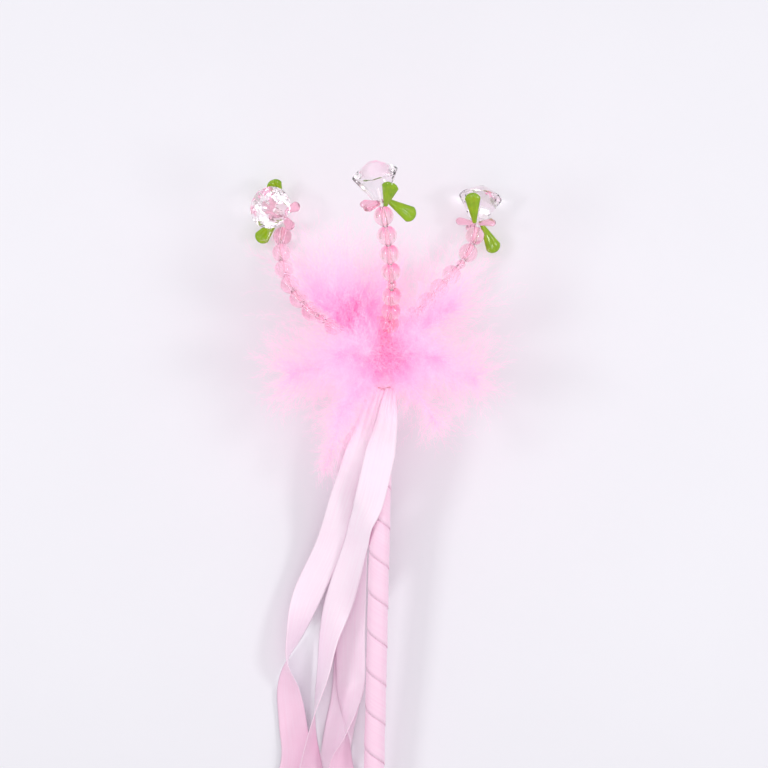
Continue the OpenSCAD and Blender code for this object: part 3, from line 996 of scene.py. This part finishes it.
@dataclass
class FeatherPuff:
    """The puff of marabou plumes round the crown's foot."""

    lie: Lie
    finishes: Finishes
    first_seed: int = 100
    barbs_per_mm: float = 15.0
    barb_steps: int = 9
    vane_top: float = 0.76
    vane_bias: float = 1.5
    vane_width: Pair = (0.6, 0.4)
    barb_lengths: Pair = (0.35, 1.1)
    splay: Pair = (80.0, 40.0)
    splay_spread: Pair = (0.5, 1.25)
    scatter: float = 0.6
    foot_scatter: float = 0.8
    foot_share: float = 0.2
    combing: float = 0.6
    barb_width: float = 0.03
    barbule_width: float = 0.04
    barbule_length: float = 3.2
    barbule_step: float = 0.9
    clearance: float = 0.4
    tuft: int = 240
    tuft_top: float = 0.14
    tuft_lengths: Pair = (6.0, 17.0)
    tuft_scatter: float = 0.9
    tuft_along: float = 0.2
    tuft_combing: float = 0.7
    tuft_lift: float = 0.4
    drift: float = 0.5
    drift_scatter: float = 0.7
    droop: float = 0.12
    quill_top: float = 0.85
    barb_taper: Pair = (1.1, 0.8)
    quill_taper: Pair = (7.0, 5.5)
    quill_tint: float = 0.8
    tint_fade: float = 1.5
    tint_scatter: float = 0.05
    hot_tint: float = 0.95
    hot_r: float = 9.0
    hot_spots: tuple[Triple, ...] = ((0.5, -6.0, 290.0), (-11.0, -7.0, 311.0))
    plumes: tuple[Plume, ...] = (
        Plume("upper_left", 213, -6, 46, 22, 44, 24, 20, 0.45, (0.45, 1.7, 0.3), 1.0, 1.75),
        Plume("upper_right", 335, -6, 46, 22, 42, 22, -20, 0.3, (-0.5, 1.1, 0.2), 0.9, 1.6),
        Plume("upper_back", 90, -6, 46, 6, 29, 16, 0, 0.4, (-1.2, 1.6, 0.1), 1.6, 2.4),
        Plume("side_left", 182, -10, 98, 12, 44, 24, 70, 0.2, (0.1, 0.4, 0.3)),
        Plume("side_right", 358, -10, 98, 12, 44, 24, -70, 0.2, (-0.2, 0.5, 0.3), 0.8),
        Plume("front_left", 240, -8.5, 80, 16, 40, 22, 45, 0.4, (0.1, 0.1, 0.6)),
        Plume("front_right", 306, -8.5, 80, 16, 42, 22, -45, 0.4, (-0.1, 0.1, 0.6), 0.8),
        Plume("back_left", 120, -10, 110, 10, 27, 15, 20, 0.25, (-0.6, 0.6, 0.0), 1.2),
        Plume("back_right", 60, -10, 110, 10, 27, 15, -20, 0.25, (0.6, 0.6, 0.0), 1.2),
        Plume("lower_left", 222, -11.5, 138, 10, 42, 18, 20, 0.25, (0.3, 0.0, 0.7), 0.7),
        Plume("lower_right", 335, -11.5, 138, 10, 42, 18, -20, 0.2, (-0.4, 0.1, 0.7), 0.4),
        Plume("hanging", 182, -12, 152, 18, 64, 9, 80, 0.2, (0.0, -0.3, 0.0), 0.5),
    )

    def build(self) -> None:
        """Grows and dresses every plume."""
        tool = plume_tool()
        sizes = {"Barb Width": self.barb_width * MM, "Barbule Width": self.barbule_width * MM,
                 "Barbule Length": self.barbule_length * MM, "Barbule Step": self.barbule_step * MM}
        for seed, plume in enumerate(self.plumes):
            paths, tint, thick = self._barbs(plume, np.random.default_rng(self.first_seed + seed))
            piece = path_piece(f"plume_{plume.name}", paths, {"tint": tint, "thick": thick})
            tool.run(piece, {**sizes, "Seed": seed, "Material": self.finishes.down})
            settle(piece, nodes=[f"feather_{plume.name}"])

    def _barbs(self, plume: Plume, rng: np.random.Generator) -> tuple[np.ndarray, np.ndarray, np.ndarray]:
        """Lays out the paths of a plume's barbs: those of its vane, and a loose tuft at its foot.

        Args:
            plume: The plume.
            rng: A seeded source of chance.

        Returns:
            The paths, with the quill as the last one, and a tint and a thickness at each point.
        """
        vane, comb = int(plume.length * self.barbs_per_mm * plume.fullness), np.array(plume.comb)
        count, steps = vane + self.tuft, self.barb_steps
        u = np.concatenate([self.vane_top * rng.random(vane) ** self.vane_bias,
                            self.tuft_top * rng.random(self.tuft)])
        place, along, across, out = plume.frames(self.lie, u)
        hand = np.where(rng.random(count) < 0.5, -1.0, 1.0)[:, None]
        full = self.vane_width[0] + self.vane_width[1] * np.sin(math.pi * u)
        length = plume.reach * plume.width * full * rng.uniform(*self.barb_lengths, count)
        splay = np.radians(self.splay[0] - self.splay[1] * u)[:, None]
        splay = splay * rng.uniform(*self.splay_spread, (count, 1))
        heading = along * np.cos(splay) + hand * across * np.sin(splay)
        spread = self.scatter + self.foot_scatter * np.exp(-(u / self.foot_share) ** 2)
        heading += out * rng.normal(0, spread, count)[:, None] + self.combing * comb
        loose = rng.normal(0, self.tuft_scatter, (self.tuft, 3))
        heading[vane:] = loose + self.tuft_along * along[vane:] + self.tuft_combing * comb
        heading[vane:, 2] += self.tuft_lift
        length[vane:] = rng.uniform(*self.tuft_lengths, self.tuft)
        drift = self.drift * along + rng.normal(0, self.drift_scatter, (count, 3)) - np.array([0, 0, self.droop])
        paths = [place]
        for k in range(steps):
            paths.append(paths[-1] + unit(heading + drift * (k / steps)) * (length / steps)[:, None])
        quill = plume.frames(self.lie, np.linspace(0, self.quill_top, steps + 1))[0]
        points = np.concatenate([np.stack(paths, 1), quill[None]])
        points[..., 2] = np.maximum(points[..., 2], self.lie.floor + self.barbule_length + self.clearance)
        core = sum(np.exp(-(np.linalg.norm(points - self.lie.lay(spot), axis=2) / self.hot_r) ** 2)
                   for spot in self.hot_spots)
        rest = np.linspace(0, 1, steps + 1)
        tint = self.hot_tint * core + plume.heat * (1 - rest) ** self.tint_fade * self.quill_tint
        tint = np.clip(tint + rng.normal(0, self.tint_scatter, (count + 1, 1)), 0, 1)
        thick = np.tile(self.barb_taper[0] - self.barb_taper[1] * rest, (count + 1, 1))
        thick[-1] = self.quill_taper[0] - self.quill_taper[1] * rest
        return points, tint, thick


@dataclass
class Ribbons:
    """The satin ribbon: the wrap round the stick, the tie and the four streamers."""

    lie: Lie
    finishes: Finishes
    width: float = 12.7
    thickness: float = 0.3
    wrap_r: float = 3.43
    wrap_low: float = 12.0
    wrap_high: float = 284.2
    wrap_pitch: float = 16.9
    wrap_lap: float = 0.4
    wrap_slack: float = 0.65
    wrap_thickness: float = 0.2
    snug_low: float = 8.0
    snug_high: float = 12.0
    slack_top: float = 274.0
    lap_lift: Pair = (0.1, 0.2)
    wobble: float = 0.04
    turn_rows: int = 40
    wrap_columns: int = 9
    tie_r: float = 4.45
    tie_flat_r: float = 4.4
    tie_lap: float = 0.35
    tie_middle: float = 4.0
    tie_half: float = 3.8
    tie_length: float = 30.0
    tie_pleat: float = 0.3
    tie_rise: float = 0.05
    knot: Triple = (3.9, 3.1, 3.6)
    knot_out: float = 6.4
    gathered: float = 0.4
    pleat: float = 0.5
    ripple: float = 0.12
    ripple_run: float = 5.5
    curl: float = 0.15
    steps: int = 14
    columns: int = 17
    streamers: dict[str, tuple[tuple[float, float, float, float, float], ...]] = field(default_factory=lambda: {
        "a": ((-1.9, 0.8, 5.8, 1, 18), (-5.8, 14, 3.4, 1, 28), (-9, 28, 1.6, 1, 15), (-15, 48, 0.6, 0.8, 0),
              (-21, 69, 1.2, 0.5, 0), (-30, 90, 2, 0.3, -12), (-35, 107, 7.5, 0, -55), (-38, 119, 7.5, 0, -90),
              (-37.5, 132, 6, 0, -140), (-35.5, 147, 3.5, 0, -165), (-34, 164, 2.2, 0, -180),
              (-40, 188, 1.6, 0, -180), (-44, 224, 1.2, 0, -180)),
        "b": ((3.5, 0.8, 5, 1, -35), (2, 14, 7.2, 1, 0), (-0.5, 28, 5.6, 1, 5), (-4.7, 48, 4.6, 1, 12),
              (-8, 58, 1.4, 1, 38), (-10.2, 69, 2.2, 0.75, 36), (-15.5, 89, 1, 0.5, 15), (-20.5, 107, 8, 0, 45),
              (-23, 124, 8.5, 0, 66), (-26, 140, 8.5, 0, 86), (-27.5, 154, 8, 0, 110),
              (-27.5, 168, 5.5, 0, 145), (-27, 184, 3, 0, 172), (-27.5, 210, 2.2, 0, 180)),
        "c": ((-6, 0.8, 1, 1, 80), (-8.4, 14, -2.4, 1, 62), (-10.5, 28, -2.8, 1, 10), (-11, 48, 1, 0.6, 0),
              (-11.5, 69, 1, 0.3, 0), (-11.5, 90, 3, 0.1, 0), (-11.5, 111, 3.8, 0, 0), (-11, 128, 4.2, 0, 15),
              (-11.5, 141, 7.4, 0, 60), (-12.8, 151, 8.4, 0, 95), (-14.5, 163, 6.4, 0, 140),
              (-13.5, 182, 3, 0, 180), (-13, 216, 2.2, 0, 180)),
        "d": ((-4.2, 0.8, -4.4, 1, 136), (-7.4, 14, -6.6, 1, 85), (-12, 28, -8, 1, 20), (-13.5, 48, 0.8, 0.4, 0),
              (-13, 69, 1.2, 0.2, 0), (-12.5, 89, 0.8, 0.1, 0), (-12, 107, 1, 0, 0), (-12, 122, 0.9, 0, 0),
              (-13, 136, 0.8, 0, 0), (-15.5, 150, 0.8, 0, 0), (-18, 168, 0.8, 0, 0), (-20, 190, 0.8, 0, 0),
              (-21, 216, 0.8, 0, 0)),
    })

    def build(self) -> None:
        """Builds and dresses every ribbon."""
        self._wrap()
        tie = self._tie()
        for name, points in self.streamers.items():
            self._streamer(name, np.array(points, float))

    def _wrap(self) -> None:
        """Winds the ribbon round the stick, each turn over the edge of the one below."""
        radius = self.wrap_r + self.wrap_slack
        around = TURN * radius
        pitch, rise = self.wrap_pitch, self.wrap_pitch + self.wrap_lap
        climb = math.atan(pitch / around)
        turns = (self.wrap_high - self.wrap_low - rise) / pitch
        angle = np.linspace(0, turns * TURN, int(turns * self.turn_rows) + 1)[:, None]
        share = np.linspace(0, 1, self.wrap_columns)[None, :]
        level = pitch * angle / TURN + rise * share
        height = self.wrap_low + level
        slack = (self.wrap_slack * np.clip(level / self.snug_low, 0, 1)
                 * np.clip((self.slack_top - height) / self.snug_high, 0, 1))
        lift = self.wrap_r + slack + self.lap_lift[0] + self.lap_lift[1] * (1 - share)
        lift = lift + self.wobble * np.sin(angle * 1.7 + share * 5)
        out = away(-angle, share)
        middle = out * lift[..., None]
        middle[..., 2] = height
        base = angle * radius + 0 * share
        flat = np.stack([level * math.cos(climb) - base * math.sin(climb),
                         base * math.cos(climb) + level * math.sin(climb)], -1)
        piece = ribbon_piece("wound_ribbon", self.lie.lay(middle), self.lie.lay(out), flat, self.wrap_thickness,
                             self.finishes.wrap)
        settle(piece, nodes=["stick_wrap"])

    def _tie(self) -> Piece:
        """Ties a gathered ribbon round the stick, with its knot at the front.

        Returns:
            The tied band.
        """
        center = self.lie.tie_low + self.tie_middle
        angle = np.linspace(-self.tie_lap, TURN + self.tie_lap, 90)[:, None]
        share = np.linspace(-1, 1, 41)[None, :]
        pleat = self.tie_pleat * np.sin(share * 14 + 0.8 * np.sin(angle)) * (1 - 0.2 * np.cos(angle))
        out = away(angle + math.pi / 2, share)
        middle = out * (self.tie_r + pleat + self.tie_rise * angle)[..., None]
        middle[..., 2] = center + self.tie_half * share * (1 + 0.05 * np.sin(3 * angle))
        flat = np.stack(np.broadcast_arrays(share * self.width / 2, angle * self.tie_flat_r), -1)
        band = ribbon_piece("tied_band", self.lie.lay(middle), self.lie.lay(out), flat, self.thickness,
                            self.finishes.wrap)
        polar = np.linspace(0, math.pi, 31)[:, None]
        turn = np.linspace(0, TURN, 61)[None, :]
        folds = 1 + 0.09 * np.sin(polar) * np.sin(5 * turn + 2.5 * polar) + 0.05 * np.sin(9 * turn - 4 * polar)
        ball = np.stack([np.sin(polar) * np.cos(turn), np.sin(polar) * np.sin(turn), np.cos(polar) + 0 * turn], -1)
        knot = np.array(self.knot) * folds[..., None] * ball
        place = knot + np.array([0.0, -self.knot_out, center])
        flat = np.stack(np.broadcast_arrays(polar * 4, turn * 4), -1)
        lump = ribbon_piece("knot", self.lie.lay(place), self.lie.lay(unit(knot)), flat, self.thickness,
                            self.finishes.wrap)
        settle(lump)
        settle(band, nodes=["ribbon_tie"])
        return band

    def _streamer(self, name: str, points: np.ndarray) -> None:
        """Lays one streamer along its points, pleated where it leaves the tie.

        Args:
            name: The streamer's letter.
            points: Its middle line: place across, distance below the tie, height above the floor or, by a share,
                above the stick's axis, and roll.
        """
        side, below, lift, hung, roll = points.T
        line = np.stack([side, (self.lie.tie_low - below) * math.cos(self.lie.slope),
                         self.lie.floor + lift + hung * self.lie.axis_height(below), roll], 1)
        spans = len(line) - 1
        at = np.linspace(0, spans, spans * self.steps + 1)
        k = np.minimum(at.astype(int), spans - 1)
        u = (at - k)[:, None]
        p0, p1, p2, p3 = (line[np.clip(k + step, 0, spans)] for step in (-1, 0, 1, 2))
        curve = 0.5 * (2 * p1 + (p2 - p0) * u + (2 * p0 - 5 * p1 + 4 * p2 - p3) * u ** 2
                       + (3 * p1 - p0 - 3 * p2 + p3) * u ** 3)
        place, roll = curve[:, :3], np.radians(curve[:, 3])[:, None]
        along = unit(np.gradient(place, axis=0))
        level = unit(np.cross([0.0, 0.0, 1.0], along))
        above = np.cross(along, level)
        across, up = level * np.cos(roll) + above * np.sin(roll), above * np.cos(roll) - level * np.sin(roll)
        gather = np.minimum(1, self.gathered + (1 - self.gathered) * at / 2)[:, None]
        share = np.linspace(-1, 1, self.columns)[None, :]
        run = np.concatenate([[0], np.cumsum(np.linalg.norm(np.diff(place, axis=0), axis=1))])[:, None]
        pleat = self.pleat * np.sqrt(np.clip(1 - gather ** 2, 0, 1)) * np.cos(3 * math.pi * share)
        wave = np.sin(run / self.ripple_run + share * 2 + ord(name))
        ripple = self.ripple * share ** 2 * wave - self.curl * share ** 2
        spread = (share * gather * self.width / 2)[..., None]
        middle = place[:, None] + across[:, None] * spread + up[:, None] * (pleat + ripple)[..., None]
        normal = unit(np.cross(np.gradient(middle, axis=0), np.gradient(middle, axis=1)))
        flat = np.stack(np.broadcast_arrays(share * self.width / 2, run), -1)
        piece = ribbon_piece(f"ribbon_{name}", middle, normal, flat, self.thickness, self.finishes.streamer)
        settle(piece, nodes=[f"streamer_{name}"])


@dataclass
class Stick:
    """The dowel and the tape binding, which keep their solids."""

    finishes: Finishes

    def dress(self) -> None:
        """Gives the two solids their materials."""
        for name, material in (("dowel", self.finishes.wood), ("binding", self.finishes.tape)):
            for slot in frame["nodes"][name].material_slots:
                slot.material = material
            LOG.info("%s: dressed", name)


@dataclass(frozen=True)
class Lamp:
    """One square lamp: its name, its place in metres, its power in watts and its width in metres."""

    name: str
    place: Triple
    power: float
    size: float


@dataclass
class Studio:
    """The paper, the lamps and the camera straight above."""

    lie: Lie
    finishes: Finishes
    aim: Pair = (0.4, 275.2)
    rise: float = 926.6
    view: float = 20.3
    roll: float = 1.33
    paper_reach: float = 2600.0
    paper_gap: float = 0.02
    sky: float = 0.66
    sky_seen: float = 0.94
    sky_color: Color = (0.985, 0.975, 1.0, 1.0)
    lamps: tuple[Lamp, ...] = (
        Lamp("lamp_left", (-0.48, 0.34, 0.56), 1.0, 0.14),
        Lamp("lamp_right", (0.48, 0.3, 0.56), 1.0, 0.14),
        Lamp("lamp_above", (0.05, 0.35, 1.1), 1.8, 0.75),
    )

    def build(self) -> None:
        """Builds the stage."""
        self._floor()
        self._world()
        for lamp in self.lamps:
            self._hang(lamp)
        self._camera()

    def _floor(self) -> None:
        """Lays the paper under the wand."""
        reach, level = self.paper_reach, self.lie.floor - self.paper_gap
        corners = np.array([[x * reach, y * reach, level] for x, y in ((-1, -1), (1, -1), (1, 1), (-1, 1))])
        mesh_piece("floor", corners, [(0, 1, 2, 3)], self.finishes.paper, smooth=False)

    def _world(self) -> None:
        """Sets the soft sky, which looks like the paper where it is seen."""
        world = bpy.data.worlds.new("sky")
        world.use_nodes = True
        bpy.context.scene.world = world
        pen = NodePen(world.node_tree)
        rays = pen.add("ShaderNodeLightPath").outputs
        seen = pen.math("MAXIMUM", rays["Is Camera Ray"],
                        pen.math("MAXIMUM", rays["Is Glossy Ray"], rays["Is Transmission Ray"]))
        pen.fill(world.node_tree.nodes["Background"], {
            "Color": self.sky_color, "Strength": pen.between(seen, self.sky, self.sky_seen)})

    def _hang(self, lamp: Lamp) -> None:
        """Hangs one lamp, aimed at the middle of the view."""
        data = bpy.data.lights.new(lamp.name, "AREA")
        data.energy, data.size = lamp.power, lamp.size
        light = linked(lamp.name, data)
        light.location = lamp.place
        target = Vector((self.aim[0] * MM, self.aim[1] * MM, 0.0))
        light.rotation_euler = (target - light.location).to_track_quat("-Z", "Y").to_euler()

    def _camera(self) -> None:
        """Hangs the camera above the crown, looking straight down."""
        data = bpy.data.cameras.new("camera")
        data.angle, data.clip_start = math.radians(self.view), 0.01
        camera = linked("camera", data)
        camera.location = (self.aim[0] * MM, self.aim[1] * MM, self.rise * MM)
        camera.rotation_euler = (0.0, 0.0, math.radians(self.roll))
        bpy.context.scene.camera = camera


def main() -> None:
    """Builds the wand and its stage."""
    logging.basicConfig(level=logging.INFO, format="%(name)s %(message)s")
    axis = frame["record"]["mounts"][0]["axis"]
    lie = Lie(slope=math.atan2(-axis[2], -axis[1]))
    finishes = Finishes()
    Studio(lie, finishes).build()
    Stick(finishes).dress()
    Ribbons(lie, finishes).build()
    Crown(lie, finishes).build()
    FeatherPuff(lie, finishes).build()
    bpy.context.scene.view_settings.view_transform = "Standard"


if __name__ == "__main__":
    main()
